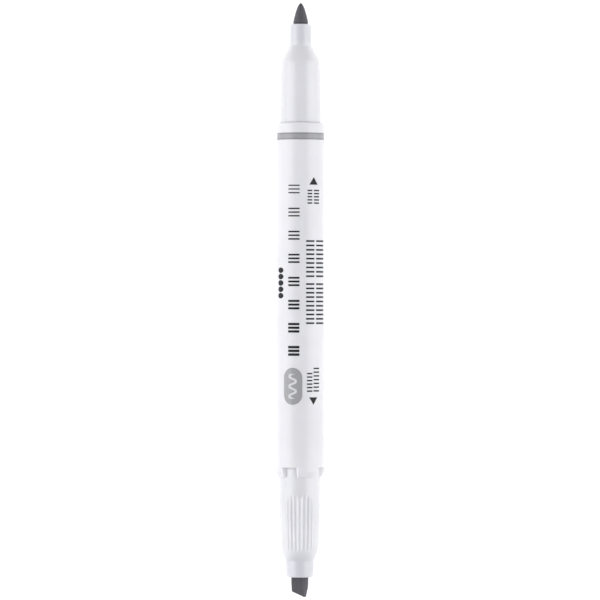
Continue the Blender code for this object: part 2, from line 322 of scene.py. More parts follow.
class Shaper(Graph):
    """A Geometry Nodes tree with named inputs. It ends in plain geometry."""

    KINDS = {"length": "NodeSocketFloat", "count": "NodeSocketInt", "finish": "NodeSocketMaterial"}

    def __init__(self, name, **inputs):
        super().__init__(bpy.data.node_groups.new(name, "GeometryNodeTree"))
        faces = self.tree.interface
        faces.new_socket("Geometry", in_out="INPUT", socket_type="NodeSocketGeometry")
        for label, kind in {**inputs, "Finish": "finish"}.items():
            title = label.replace("_", " ")
            faces.new_socket(title, in_out="INPUT", socket_type=self.KINDS[kind])
        faces.new_socket("Geometry", in_out="OUTPUT", socket_type="NodeSocketGeometry")
        self.inputs = self.node("NodeGroupInput").outputs

    def position(self):
        """X, Y and Z of each point."""
        return self.parts(self.node("GeometryNodeInputPosition").outputs[0])

    def vector(self, x, y, z):
        return self.wire(self.node("ShaderNodeCombineXYZ"), X=x, Y=y, Z=z)

    def close(self, geometry):
        """Ends the tree in Realize Instances and Set Material."""
        real = self.wire(self.node("GeometryNodeRealizeInstances"), Geometry=geometry)
        finish = self.node("GeometryNodeSetMaterial")
        shown = self.wire(finish, Geometry=real, Material=self.inputs["Finish"])
        self.feed(self.node("NodeGroupOutput").inputs[0], shown)
        return self.tree


def add_tree(piece, tree, **values):
    """Puts a Geometry Nodes tree on a piece, with its inputs set by identifier."""
    modifier = piece.modifiers.new(tree.name, "NODES")
    modifier.node_group = tree
    for item in tree.interface.items_tree:
        key = item.name.replace(" ", "_")
        if item.in_out == "INPUT" and key in values:
            modifier[item.identifier] = values[key]


def settle(piece):
    """Turns what a piece's modifiers make into its own plain mesh."""
    shown = piece.evaluated_get(bpy.context.evaluated_depsgraph_get())
    mesh = bpy.data.meshes.new_from_object(shown)
    piece.modifiers.clear()
    rough = piece.data
    piece.data = mesh
    bpy.data.meshes.remove(rough)
    mesh.name = piece.name
    return piece


# --- Finishes ---

COAT_ROUGHNESS = 0.25


def toned(tint, factor):
    """A colour made darker or paler."""
    return tuple(min(1.0, factor * part) for part in tint)


def moulded_plastic(name, sizes, thin=None):
    """White moulded plastic: faint clouding, a fine skin and a few handling marks.

    Where its wall is thin, near the mouths, it is painted in another, greyer colour: a painted shade
    for the dark nib seen through that thin wall. This colour comes in between two distances from the
    marker's middle.
    """
    look = Finish(name)
    tint = tuple(sizes.colour)
    clouds = look.noise(look.place, 7 * MM, detail=3.0)
    body = look.blend(look.span(clouds, 0.35, 0.65), toned(tint, 0.965), tint)
    # Painted shade: the thin mouth wall is tinted as if the dark nib showed through it
    if thin is not None:
        mouth_shade_tint, start, end = thin
        body = look.blend(look.span(look.outward(), start, end, smooth=True), body, mouth_shade_tint)
    skin = look.noise(look.place, 0.22 * MM, detail=2.0)
    rubbed = look.noise(look.lengthwise(0.25), 0.9 * MM, detail=4.0)
    rough = look.span(rubbed, 0.5, 0.72, sizes.roughness - 0.03, sizes.roughness + 0.09)
    return look.set(
        Base_Color=body, Roughness=rough, Normal=look.bump(skin, 0.006 * MM), IOR=1.5,
        Coat_Weight=sizes.gloss, Coat_Roughness=COAT_ROUGHNESS, Subsurface_Weight=1.0,
        Subsurface_Radius=(1.0, 0.95, 0.9), Subsurface_Scale=sizes.light_depth,
    )


def inked_felt(name, dry, wet_and_shade, soaked, seat, bar_roll=None):
    """Bonded fibres that run along the marker, darker where ink gathers.

    Ink gathers towards the tip, between the two soaked places. Round the seat the felt is painted
    darker too, a painted shade where the nib goes into its mouth. The soaked places and the seat are
    distances from the marker's middle. A flat bar, rolled about the axis by the angle given, is
    painted paler along its narrow sides, a painted highlight for the light that those sides catch.
    """
    look = Finish(name)
    fibres = look.noise(look.lengthwise(0.06), 0.13 * MM, detail=3.0, roughness=0.6)
    body = look.blend(look.span(fibres, 0.36, 0.68), dry, toned(dry, 1.5))
    pores = look.noise(look.place, 0.3 * MM, detail=2.0)
    body = look.blend(look.span(pores, 0.45, 0.75, 0.0, 0.35), body, wet_and_shade)
    reach = look.outward()
    body = look.blend(look.span(reach, *soaked, 0.0, 0.75, smooth=True), body, wet_and_shade)
    # Painted shade: the felt is darker next to the mouth, where the nib goes into it
    ring = look.span(reach, seat + 0.2 * MM, seat + 0.45 * MM, 0.7, 0.0)
    body = look.blend(ring, body, wet_and_shade)
    # Painted highlight: the flat bar's narrow sides are made paler, for the light that they catch
    if bar_roll is not None:
        bar_place = look.mapped(
            "TEXTURE", Location=(0.0, 0.0, AXIS_HEIGHT), Rotation=(bar_roll, 0.0, math.pi)
        )
        side = look.maths("ABSOLUTE", look.parts(bar_place)["Y"])
        body = look.blend(look.span(side, 1.35 * MM, 1.8 * MM), body, toned(dry, 1.9))
    return look.set(
        Base_Color=body, Roughness=0.55, Normal=look.bump(fibres, 0.03 * MM),
        Sheen_Weight=0.1, Sheen_Roughness=0.6, Specular_IOR_Level=0.3,
    )


def printed_ink(name, tint, gloss=0.0, borders=None):
    """Thin screen-printed ink, a little uneven, under a clear skin of some gloss.

    The borders are two places along the marker near which the ink heaps up and darkens.
    """
    look = Finish(name)
    mottle = look.noise(look.place, 0.5 * MM, detail=3.0)
    paler = tuple(min(1.0, 1.08 * part + 0.002) for part in tint)
    body = look.blend(look.span(mottle, 0.4, 0.7), tint, paler)
    if borders is not None:
        low, high = borders
        off_middle = look.maths("SUBTRACT", look.along(), (low + high) / 2)
        inside = look.maths("SUBTRACT", (high - low) / 2, look.maths("ABSOLUTE", off_middle))
        body = look.blend(look.span(inside, 0.2 * MM, 0.4 * MM), toned(tint, 0.78), body)
    rough = look.span(mottle, 0.3, 0.7, 0.42, 0.55)
    normal = look.bump(look.noise(look.place, 0.12 * MM), 0.002 * MM)
    return look.set(
        Base_Color=body, Roughness=rough, Normal=normal, Specular_IOR_Level=0.3,
        Coat_Weight=gloss, Coat_Roughness=COAT_ROUGHNESS,
    )


def reservoir_fibre():
    """Lengthwise polyester fibres soaked with grey ink."""
    look = Finish("reservoir_fibre")
    strands = look.noise(look.lengthwise(0.03), 0.2 * MM, detail=3.0)
    body = look.blend(look.span(strands, 0.35, 0.65), (0.16, 0.16, 0.18), (0.3, 0.3, 0.33))
    return look.set(Base_Color=body, Roughness=0.9, Normal=look.bump(strands, 0.04 * MM))


def reservoir_film():
    """Thin film round the fibre, with faint lengthwise creases."""
    look = Finish("reservoir_film")
    creases = look.noise(look.lengthwise(0.05), 0.8 * MM, detail=3.0)
    body = look.blend(look.span(creases, 0.3, 0.7), (0.62, 0.64, 0.67), (0.74, 0.76, 0.78))
    rough = look.span(creases, 0.3, 0.7, 0.16, 0.3)
    return look.set(Base_Color=body, Roughness=rough, Normal=look.bump(creases, 0.02 * MM))


# --- Shapes ---


def arc(start, corner, end, radius, steps=8):
    """Points of an arc that rounds the corner between two straight runs."""
    corner = Vector(corner)
    before = (Vector(start) - corner).normalized()
    after = (Vector(end) - corner).normalized()
    half_angle = math.acos(before.dot(after)) / 2
    middle = corner + (before + after).normalized() * (radius / math.sin(half_angle))
    first = corner + before * (radius / math.tan(half_angle)) - middle
    last = corner + after * (radius / math.tan(half_angle)) - middle
    turn = math.remainder(math.atan2(last.y, last.x) - math.atan2(first.y, first.x), math.tau)
    points = []
    for step in range(steps + 1):
        cos, sin = math.cos(turn * step / steps), math.sin(turn * step / steps)
        x, y = first.x * cos - first.y * sin, first.x * sin + first.y * cos
        points.append((middle.x + x, middle.y + y))
    return points


def even_out(points, longest):
    """Adds points so that no run along the outline is longer than this."""
    evened = [points[0]]
    for start, end in zip(points, points[1:]):
        steps = max(1, math.ceil((Vector(end) - Vector(start)).length / longest))
        for step in range(1, steps + 1):
            way = step / steps
            evened.append(tuple(a + (b - a) * way for a, b in zip(start, end)))
    return evened


def round_point(x, radius, turn):
    """A point round the marker's axis. The turn is measured from +Z towards +Y."""
    return (x, radius * math.sin(turn), AXIS_HEIGHT + radius * math.cos(turn))


def turned(profile, columns, start=0.0, way=1):
    """A closed shape turned about the marker's axis from (distance, radius) points.

    Distances are measured from the start, towards +X or -X as the way says. A radius
    of zero makes a pole, and a profile without poles is closed into a tube.
    """
    mesh = bmesh.new()
    rings = []
    for distance, radius in profile:
        x = start + way * distance
        if radius < WELD:
            rings.append([mesh.verts.new(round_point(x, 0.0, 0.0))])
            continue
        turns = (math.tau * column / columns for column in range(columns))
        rings.append([mesh.verts.new(round_point(x, radius, turn)) for turn in turns])
    pairs = list(zip(rings, rings[1:]))
    if len(rings[0]) > 1:
        pairs.append((rings[-1], rings[0]))
    for low, high in pairs:
        for column in range(columns):
            after = (column + 1) % columns
            corners = [low[column % len(low)], low[after % len(low)]]
            corners += [high[after % len(high)], high[column % len(high)]]
            mesh.faces.new(list(dict.fromkeys(corners)))
    bmesh.ops.recalc_face_normals(mesh, faces=mesh.faces)
    return mesh


def add_piece(name, mesh, material):
    """A smooth-shaded object at the origin, with its place in its mesh."""
    data = bpy.data.meshes.new(name)
    mesh.to_mesh(data)
    mesh.free()
    data.shade_smooth()
    data.set_sharp_from_angle(angle=SHARP_ANGLE)
    data.materials.append(material)
    piece = bpy.data.objects.new(name, data)
    bpy.context.scene.collection.objects.link(piece)
    return piece


def split(mesh, point, normal, clear=False):
    """Cuts a mesh along a plane, and can clear away what lies beyond it."""
    return bmesh.ops.bisect_plane(
        mesh, geom=mesh.verts[:] + mesh.edges[:] + mesh.faces[:], plane_co=point,
        plane_no=normal, clear_outer=clear,
    )["geom_cut"]


def round_edges(piece, width, segments, method="ANGLE", sharp=SHARP_ANGLE):
    """Rounds a piece's sharp or weighted edges and keeps its flats flat."""
    bevel = piece.modifiers.new("edges", "BEVEL")
    bevel.width = width
    bevel.segments = segments
    bevel.limit_method = method
    bevel.angle_limit = sharp
    bevel.harden_normals = True
    piece.data.shade_smooth()


def hand_over(piece, slot, *nodes):
    """Rides the finished piece on the marker and hides the CAD nodes that it stands for."""
    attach(piece, "root")
    if nodes:
        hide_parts(*nodes)


# --- Barrel ---


def barrel_radius(sizes, x):
    """Outer radius of the barrel's long taper at a place along the marker."""
    taper_end = LUG_END + sizes.lug_taper
    way = (x - taper_end) / (FINE_RIM - taper_end)
    return BARREL_RADIUS - sizes.taper * way


def barrel_outlines(sizes, floor):
    """Outlines of the tube and of a lug, as (place along the marker, radius) points.

    The tube's runs from inside the notches' floor, round the fine rim, to outside that
    floor. From there the lug's goes on, round the lug's end, to where the first began.
    """
    outer_fine = (FINE_RIM, barrel_radius(sizes, FINE_RIM))
    outer_bold = (LUG_END + sizes.lug_taper, BARREL_RADIUS)
    rim_inner = (FINE_RIM, sizes.bore + sizes.lead_in)
    lug_tip = (LUG_END, sizes.lug_radius)
    tube = [(floor, sizes.lug_bore), (floor, sizes.bore)]
    tube += [(FINE_RIM - sizes.lead_in, sizes.bore), rim_inner]
    tube += arc(rim_inner, outer_fine, outer_bold, sizes.rim_round)
    outside = [tube.pop(), (floor, barrel_radius(sizes, floor))]
    tube += even_out(outside, 6 * MM)
    lug = arc(outer_fine, outer_bold, lug_tip, 0.5 * MM, steps=4)
    lug += [lug_tip, (LUG_END, sizes.lug_bore)]
    return tube, lug


def barrel_columns(sizes):
    """For each column of points: is a notch next to it, and three turns about the axis.

    The turns are those inside the wall, at its inner face and at its outer face. They
    differ because the notches are wider outside.
    """
    notch_steps = 18
    lug_steps = 30
    inner_share = 0.36
    inner_arc = sizes.notch_arc - inner_share * sizes.notch_flare
    arcs = (sizes.notch_arc, inner_arc, inner_arc + sizes.notch_flare)
    pitch = math.tau / sizes.lugs
    columns = []
    for index in range(sizes.lugs):
        middle = sizes.notch_centre + index * pitch
        for step in range(notch_steps):
            way = step / notch_steps - 0.5
            columns.append((True, [middle + taken * way for taken in arcs]))
        for step in range(lug_steps):
            way = step / lug_steps
            turns = [middle + taken / 2 + (pitch - taken) * way for taken in arcs]
            columns.append((False, turns))
    return columns


def weigh_edges(mesh, sizes, floor):
    """Sets how much each sharp edge is rounded, as a share of the notches' rounding."""
    outside = sizes.lug_bore + 0.5 * MM
    inside = sizes.lug_bore + WELD
    faint = 0.1
    weight = mesh.edges.layers.float.new("bevel_weight_edge")
    for edge in mesh.edges:
        if edge.calc_face_angle() < SHARP_ANGLE:
            continue
        radii = [math.hypot(vert.co.y, vert.co.z - AXIS_HEIGHT) for vert in edge.verts]
        wide = sizes.edge_round
        if max(vert.co.x for vert in edge.verts) < floor + WELD:
            if min(radii) > outside:
                wide = sizes.notch_round
            elif max(radii) < inside:
                wide = faint * sizes.edge_round
        edge[weight] = wide / sizes.notch_round


def make_barrel(sizes, material):
    """The tube, with lugs and notches at its bold end."""
    floor = LUG_END + sizes.lug_length
    tube, lug = barrel_outlines(sizes, floor)
    columns = barrel_columns(sizes)
    mesh = bmesh.new()

    def ring_of(points, turns):
        return [mesh.verts.new(round_point(*point, turn)) for point, turn in zip(points, turns)]

    tubes = []
    lugs = {}
    for index, (in_notch, (turn, inner, outer)) in enumerate(columns):
        tubes.append(ring_of(tube, [inner] + [turn] * (len(tube) - 2) + [outer]))
        if not in_notch or not columns[index - 1][0]:
            lugs[index] = ring_of(lug, [outer] * (len(lug) - 1) + [inner])
    for index, (in_notch, _) in enumerate(columns):
        after = (index + 1) % len(columns)
        near = tubes[index] + ([] if in_notch else lugs[index])
        far = tubes[after] + ([] if in_notch else lugs[after])
        for low in range(len(near)):
            high = (low + 1) % len(near)
            mesh.faces.new((near[low], near[high], far[high], far[low]))
        if in_notch != columns[index - 1][0]:
            mesh.faces.new([tubes[index][-1], *lugs[index], tubes[index][0]])
    bmesh.ops.recalc_face_normals(mesh, faces=mesh.faces)
    weigh_edges(mesh, sizes, floor)
    barrel = add_piece("barrel_shell", mesh, material)
    round_edges(barrel, sizes.notch_round, 3, method="WEIGHT")
    return settle(barrel)


# --- Sections ---


def section_outline(sizes, straight, shoulder, cone_end, mouth, shoulder_round, hug):
    """Outer points of a section, from its plug's end to its mouth.

    The body starts where it hugs the barrel, narrows along a parabola to the
    shoulder, and a cone leads to the mouth, whose lip is rounded.
    """
    plug, base = sizes.plug_radius, sizes.body_radius
    chamfer = 0.3 * MM
    points = [(-PLUG_LENGTH, plug - chamfer), (chamfer - PLUG_LENGTH, plug), (hug, plug)]
    points += arc((hug, plug), (hug, base), (straight, base), 0.06 * MM, steps=3)
    shoulder_x, shoulder_radius = shoulder
    body_steps = 14
    for step in range(body_steps):
        way = step / body_steps
        x = straight + (shoulder_x - straight) * way
        points.append((x, base - (base - shoulder_radius) * way**2))
    points += arc(points[-1], shoulder, cone_end, shoulder_round)
    points += arc(shoulder, cone_end, mouth, 0.5 * MM, steps=4)
    points += arc(cone_end, mouth, (mouth[0], 0.0), sizes.lip_round, steps=5)
    return points


def make_fine_section(sizes, nibs, material):
    """The smooth section round the bullet nib."""
    nib_gap = 0.06 * MM
    bore = nibs.bullet_radius + nib_gap
    cavity = 12.4 * MM
    mouth = FINE_MOUTH - FINE_RIM
    profile = section_outline(
        sizes, straight=5.0 * MM, shoulder=(13.3 * MM, 4.09 * MM),
        cone_end=(16.75 * MM, 2.38 * MM), mouth=(mouth, 2.25 * MM), shoulder_round=1.9 * MM,
        hug=sizes.joint_gap,
    )
    mouth_edge = 0.08 * MM
    profile += [(mouth, bore + mouth_edge), (mouth - mouth_edge, bore)]
    profile += [(cavity, bore), (cavity, sizes.bore), (-PLUG_LENGTH, sizes.bore)]
    return add_piece("fine_section_body", turned(profile, 192, FINE_RIM), material)


def groove_tree():
    """Presses lengthwise flutes into a turned body, which leaves narrow ribs.

    Flutes end by themselves where the body is narrower than their floor. They grow
    shallower towards the sides, as they do when a mould opens up and down.
    """
    shaper = Shaper(
        "press grooves", Ribs="count", Depth="length", Floor_Radius="length",
        Start="length", Run_Out="length", Body_Start="length", Axis_Height="length",
    )
    given = shaper.inputs
    x, y, z = shaper.position()
    up = shaper.maths("SUBTRACT", z, given["Axis Height"])
    square = shaper.maths("ADD", shaper.times(y, y), shaper.times(up, up))
    radius = shaper.maths("SQRT", square)
    half_turn = shaper.times(shaper.maths("ARCTAN2", y, up), 0.5)
    swing = shaper.maths("COSINE", shaper.times(half_turn, given["Ribs"]))
    flute = shaper.maths("ABSOLUTE", swing)
    outward = shaper.maths("SUBTRACT", given["Body Start"], x)
    full = shaper.maths("ADD", given["Start"], given["Run Out"])
    begun = shaper.span(outward, given["Start"], full, smooth=True)
    facing = shaper.maths("ABSOLUTE", shaper.maths("DIVIDE", up, radius))
    faded = shaper.span(shaper.maths("POWER", facing, 3.0), 0.0, 1.0, 0.1, 1.0)
    spare = shaper.maths("SUBTRACT", radius, given["Floor Radius"])
    deep = shaper.maths("MINIMUM", shaper.maths("MAXIMUM", spare, 0.0), given["Depth"])
    push = shaper.times(shaper.times(shaper.times(flute, begun), faded), deep)
    inward = shaper.maths("DIVIDE", shaper.times(push, -1.0), radius)
    offset = shaper.vector(0.0, shaper.times(y, inward), shaper.times(up, inward))
    move = shaper.node("GeometryNodeSetPosition")
    return shaper.close(shaper.wire(move, Geometry=given["Geometry"], Offset=offset))


def flat_nib_place(nibs):
    """Turns a shape built along its own +X so that it lies in the bold end."""
    return (
        Matrix.Translation((LUG_END, 0.0, AXIS_HEIGHT))
        @ Matrix.Rotation(math.pi, 4, "Z")
        @ Matrix.Rotation(nibs.chisel_roll, 4, "X")
    )


def bar(width, thickness, low, high):
    """A box along X: width along Y, thickness along Z."""
    mesh = bmesh.new()
    bmesh.ops.create_cube(mesh, size=1.0)
    for vert in mesh.verts:
        along = low if vert.co.x < 0 else high
        vert.co = (along, vert.co.y * width, vert.co.z * thickness)
    return mesh


def make_bold_section(sizes, nibs, material):
    """The ribbed section, with a slot for the flat nib."""
    cavity = 14.4 * MM
    mouth = LUG_END - BOLD_MOUTH + sizes.bold_lip
    columns_per_rib = 16
    shoulder_radius = 4.04 * MM
    under_lugs = 2.0 * MM
    outline = section_outline(
        sizes, straight=5.0 * MM, shoulder=(15.5 * MM, shoulder_radius),
        cone_end=(18.25 * MM, 3.07 * MM), mouth=(mouth, 2.9 * MM), shoulder_round=1.6 * MM,
        hug=-under_lugs,
    )
    profile = [(cavity, 0.0), (cavity, sizes.bore), (-PLUG_LENGTH, sizes.bore)]
    profile += even_out(outline, 0.4 * MM) + [(mouth, 1.5 * MM), (mouth, 0.0)]
    mesh = turned(profile, sizes.ribs * columns_per_rib, LUG_END, way=-1)
    section = add_piece("bold_section_body", mesh, material)

    slot_gap = 0.08 * MM
    overrun = 1 * MM
    slot = bar(
        nibs.chisel_width + 2 * slot_gap, nibs.chisel_thickness + 2 * slot_gap,
        cavity - overrun, mouth + overrun,
    )
    slot.transform(flat_nib_place(nibs))
    cutter = add_piece("slot_cutter", slot, material)
    cut = section.modifiers.new("slot", "BOOLEAN")
    cut.operation = "DIFFERENCE"
    cut.solver = "EXACT"
    cut.object = cutter
    add_tree(
        section, groove_tree(), Ribs=sizes.ribs, Depth=sizes.rib_depth,
        Floor_Radius=shoulder_radius - sizes.rib_depth, Start=sizes.rib_start,
        Run_Out=sizes.rib_run_out, Body_Start=LUG_END, Axis_Height=AXIS_HEIGHT,
        Finish=material,
    )
    settle(section)
    bpy.data.objects.remove(cutter)
    section.data.set_sharp_from_angle(angle=SHARP_ANGLE)
    return section


# --- Nibs ---


def make_bullet_nib(nibs, material):
    """A fibre rod whose tip follows a power curve."""
    tip_steps = 28
    rod = BULLET_TIP - BULLET_BACK
    profile = [(0.0, 0.0), (0.0, nibs.bullet_radius)]
    for step in range(tip_steps + 1):
        left = 1 - step / tip_steps
        x = rod - nibs.bullet_tip * left**2
        profile.append((x, nibs.bullet_radius * left ** (2 * nibs.bullet_curve)))
    return add_piece("bullet_nib_felt", turned(profile, 96, BULLET_BACK), material)


def slice_off(mesh, point, normal):
    """Cuts off what lies beyond a plane and closes the cut."""
    rim = [item for item in split(mesh, point, normal, True) if isinstance(item, bmesh.types.BMEdge)]
    bmesh.ops.contextual_create(mesh, geom=rim)


def make_chisel_nib(nibs, material):
    """A flat fibre bar. Its tip is slanted across its width and bevelled behind."""
    reach = LUG_END - CHISEL_TIP - nibs.chisel_short
    back = LUG_END - CHISEL_BACK
    mesh = bar(nibs.chisel_width, nibs.chisel_thickness, back, reach)
    shoulder = reach - nibs.chisel_taper
    split(mesh, (shoulder, 0, 0), (1, 0, 0))
    for vert in mesh.verts:
        if vert.co.x > shoulder + WELD:
            vert.co.y *= 1 - nibs.chisel_narrowing / nibs.chisel_width
    half_width = (nibs.chisel_width - nibs.chisel_narrowing) / 2
    front = nibs.chisel_thickness / 2
    slant = math.tan(nibs.chisel_slant)
    slice_off(mesh, (reach, half_width, front), (1, -slant, 0))
    land = front - nibs.chisel_land
    slope = nibs.chisel_bevel / (nibs.chisel_thickness - nibs.chisel_land)
    slice_off(mesh, (reach, half_width, land), (1, -slant, -slope))
    mesh.transform(flat_nib_place(nibs))
    bmesh.ops.recalc_face_normals(mesh, faces=mesh.faces)
    nib = add_piece("chisel_nib_felt", mesh, material)
    round_edges(nib, nibs.edge_round, 4, sharp=math.radians(20))
    return settle(nib)


# --- Print ---


def wrap_tree():
    """Sets a row of flat marks along the barrel and bends them onto its taper."""
    shaper = Shaper(
        "print row", Marks="count", First_X="length", Pitch="length", Across="length",
        Last_Scale="length", Fine_X="length", Fine_Radius="length", Bold_X="length",
        Bold_Radius="length", Axis_Height="length",
    )
    given = shaper.inputs
    steps = shaper.maths("MAXIMUM", shaper.maths("SUBTRACT", given["Marks"], 1.0), 1.0)
    index = shaper.node("GeometryNodeInputIndex").outputs[0]
    growth = shaper.span(index, 0.0, steps, 1.0, given["Last Scale"])
    points = shaper.wire(
        shaper.node("GeometryNodeMeshLine", mode="OFFSET"), Count=given["Marks"],
        Start_Location=shaper.vector(given["First X"], given["Across"], 0.0),
        Offset=shaper.vector(shaper.times(given["Pitch"], -1.0), 0.0, 0.0),
    )
    placed = shaper.wire(
        shaper.node("GeometryNodeInstanceOnPoints"), Points=points,
        Instance=given["Geometry"], Scale=shaper.vector(growth, 1.0, 1.0),
    )
    real = shaper.wire(shaper.node("GeometryNodeRealizeInstances"), Geometry=placed)
    x, y, z = shaper.position()
    radius = shaper.span(
        x, given["Bold X"], given["Fine X"], given["Bold Radius"], given["Fine Radius"],
        clamp=False,
    )
    turn = shaper.maths("DIVIDE", y, radius)
    height = shaper.maths("ADD", radius, z)
    aside = shaper.times(height, shaper.maths("SINE", turn))
    up = shaper.times(height, shaper.maths("COSINE", turn))
    bent = shaper.vector(x, aside, shaper.maths("ADD", up, given["Axis Height"]))
    move = shaper.node("GeometryNodeSetPosition")
    return shaper.close(shaper.wire(move, Geometry=real, Position=bent))


def slab(points, thickness, lift):
    """A thin closed mark from a flat outline, cut into strips narrow enough to bend."""
    strip = 0.25 * MM
    mesh = bmesh.new()
    base = mesh.faces.new([mesh.verts.new((x * MM, y * MM, lift - INK_ROOT)) for x, y in points])
    for item in bmesh.ops.extrude_face_region(mesh, geom=[base])["geom"]:
        if isinstance(item, bmesh.types.BMVert):
            item.co.z = lift + thickness
    low = min(y for _, y in points) * MM
    high = max(y for _, y in points) * MM
    for index in range(math.ceil(low / strip), math.floor(high / strip) + 1):
        split(mesh, (0, index * strip, 0), (0, 1, 0))
    bmesh.ops.recalc_face_normals(mesh, faces=mesh.faces)
    return mesh


def rectangle(long, wide):
    """Outline of a rectangle: long along X, wide along Y."""
    x, y = long / 2, wide / 2
    return [(-x, -y), (x, -y), (x, y), (-x, y)]


def ellipse(long, wide, steps=32):
    """Outline of an ellipse: long along X, wide along Y."""
    turns = (math.tau * step / steps for step in range(steps))
    return [(long / 2 * math.cos(turn), wide / 2 * math.sin(turn)) for turn in turns]


def capsule(long, wide, steps=16):
    """Outline of a rectangle with round ends."""
    points = []
    for side in (1, -1):
        for step in range(steps + 1):
            lean = math.pi * (step / steps - 0.5)
            x = (long - wide) / 2 + wide / 2 * math.cos(lean)
            points.append((side * x, side * wide / 2 * math.sin(lean)))
    return points


def arrow(long, wide, way):
    """Outline of a triangle that points along X."""
    return [(way * long / 2, 0.0), (-way * long / 2, wide / 2), (-way * long / 2, -wide / 2)]


def wave(long, rise, wide, waves=2.5, steps=60):
    """Outline of a ribbon that follows a sine along X."""
    upper, lower = [], []
    for step in range(steps + 1):
        x = long * (step / steps - 0.5)
        lean = math.tau * waves * step / steps
        middle = rise * math.sin(lean)
        slope = rise * math.tau * waves / long * math.cos(lean)
        half = wide / 2 * math.hypot(1.0, slope)
        upper.append((x, middle + half))
        lower.append((x, middle - half))
    return lower + upper[::-1]


class Row(NamedTuple):
    """A row of like marks along the barrel.

    Across is its place round the barrel, and first is how far its first mark is from the
    fine rim. The marks grow along the barrel until the last has the scale given. Lift is
    for a row that lies on another.
    """

    outline: list
    across: float
    first: float
    marks: int = 1
    pitch: float = 0.0
    last: float = 1.0
    lift: float = 0.0


def print_rows(name, sizes, barrel, material, rows):
    """One printed piece from rows of marks."""
    tree = bpy.data.node_groups.get("print row") or wrap_tree()
    mesh = bmesh.new()
    for row in rows:
        part = add_piece(name, slab(row.outline, sizes.thickness, row.lift * MM), material)
        add_tree(
            part, tree, Marks=row.marks, First_X=FINE_RIM - row.first * MM, Pitch=row.pitch * MM,
            Across=row.across * MM, Last_Scale=row.last, Axis_Height=AXIS_HEIGHT,
            Fine_X=FINE_RIM, Fine_Radius=barrel_radius(barrel, FINE_RIM),
            Bold_X=LUG_END, Bold_Radius=barrel_radius(barrel, LUG_END), Finish=material,
        )
        mesh.from_mesh(settle(part).data)
        bpy.data.objects.remove(part)
    return add_piece(name, mesh, material)


def hatch_rows(hatches):
    """Three rows of lines that make the samples. Their lines grow from thin to thick."""
    line = rectangle(0.24, 2.54)
    first = 14.5
    pitch = 35.0 / (hatches - 1)
    growth = 2.2
    return [Row(line, 1.44, first + offset, hatches, pitch, growth) for offset in (-0.8, 0, 0.8)]


def tick_rows():
    """Long double rows of ticks in the middle, and short ones beside both arrows."""
    rows = []
    for across, wide in ((-2.27, 1.96), (-5.2, 2.9)):
        tick = rectangle(0.36, wide)
        rows.append(Row(tick, across, first=25.75, marks=9, pitch=0.95))
        rows.append(Row(tick, across, first=35.05, marks=10, pitch=0.94))
    thin = 0.29
    for across, wide in ((-2.13, 1.11), (-3.87, 1.5)):
        tick = rectangle(thin, wide)
        rows.append(Row(tick, across, first=14.8, marks=5, pitch=0.68))
    near = rectangle(thin, 1.27)
    far = rectangle(thin, 1.6)
    rows.append(Row(near, -2.16, first=54.4, marks=6, pitch=0.76))
    rows.append(Row(far, -3.9, first=53.3, marks=7, pitch=0.81))
    return rows


def make_band(sizes, barrel, material):
    """The grey band round the fine end of the barrel."""
    start = FINE_RIM - sizes.band_start
    end = start - sizes.band_width
    top = sizes.thickness
    profile = []
    for x, lift in ((start, -INK_ROOT), (start, top), (end, top), (end, -INK_ROOT)):
        profile.append((x, barrel_radius(barrel, x) + lift))
    return add_piece("print_band", turned(profile, 256), material)


# --- Stage ---


def add_light(name, side, height, power):
    """A soft rectangular light at one side, which faces the middle of the marker."""
    distance = 0.7
    data = bpy.data.lights.new(name, "AREA")
    data.shape = "RECTANGLE"
    data.size, data.size_y = (0.9, 0.65)
    data.energy = power
    light = bpy.data.objects.new(name, data)
    away = Vector((0.0, side * math.cos(height), math.sin(height)))
    light.location = Vector((0.0, 0.0, AXIS_HEIGHT)) + away * distance
    light.rotation_euler = (-away).to_track_quat("-Z", "Y").to_euler()
    light.visible_camera = False
    bpy.context.scene.collection.objects.link(light)


def add_sky(zenith, horizon):
    """A white sky that is dimmer straight above than round about."""
    world = bpy.data.worlds.new("studio")
    world.use_nodes = True
    sky = Graph(world.node_tree)
    place = sky.node("ShaderNodeTexCoord").outputs["Generated"]
    strength = sky.span(sky.parts(place)["Z"], 0.05, 0.4, horizon, zenith, smooth=True)
    white = (1.0, 1.0, 1.0, 1.0)
    back = sky.wire(sky.node("ShaderNodeBackground"), Color=white, Strength=strength)
    sky.feed(sky.node("ShaderNodeOutputWorld").inputs["Surface"], back)
    bpy.context.scene.world = world


def add_floor(glow):
    """A white light table, so that the marker has hardly any shadow."""
    mesh = bmesh.new()
    bmesh.ops.create_grid(mesh, x_segments=1, y_segments=1, size=3.0)
    look = Finish("floor_white")
    grain = look.noise(look.place, 60 * MM)
    body = look.blend(grain, (0.93, 0.93, 0.93), (0.95, 0.95, 0.95))
    look.set(
        Base_Color=body, Roughness=0.9, Specular_IOR_Level=0.1,
        Emission_Color=(1.0, 1.0, 1.0, 1.0), Emission_Strength=glow,
    )
    floor = add_piece("floor", mesh, look.material)


def add_camera(settings):
    """Looks straight down, with the fine end at the top of the picture."""
    height = settings.camera_height
    data = bpy.data.cameras.new("camera")
    data.sensor_width = 36.0
    data.lens = data.sensor_width * height / settings.field
    data.clip_start = 0.01
    data.clip_end = 10.0
    camera = bpy.data.objects.new("camera", data)
    camera.location = (0.0, settings.camera_offset, AXIS_HEIGHT + height)
    camera.rotation_euler = (0.0, 0.0, settings.camera_turn)
    bpy.context.scene.collection.objects.link(camera)
    bpy.context.scene.camera = camera


# --- Operators ---


class MARKER_OT_barrel(bpy.types.Operator):
    """Make the barrel, a tapered tube with lugs at its bold end"""

    bl_idname = "marker.barrel"
    bl_label = "Barrel"

    def execute(self, context):
        sizes = context.scene.marker_barrel
        plastic = moulded_plastic("barrel_plastic", sizes)
        hand_over(make_barrel(sizes, plastic), "barrel_plastic", "barrel")
        return {"FINISHED"}


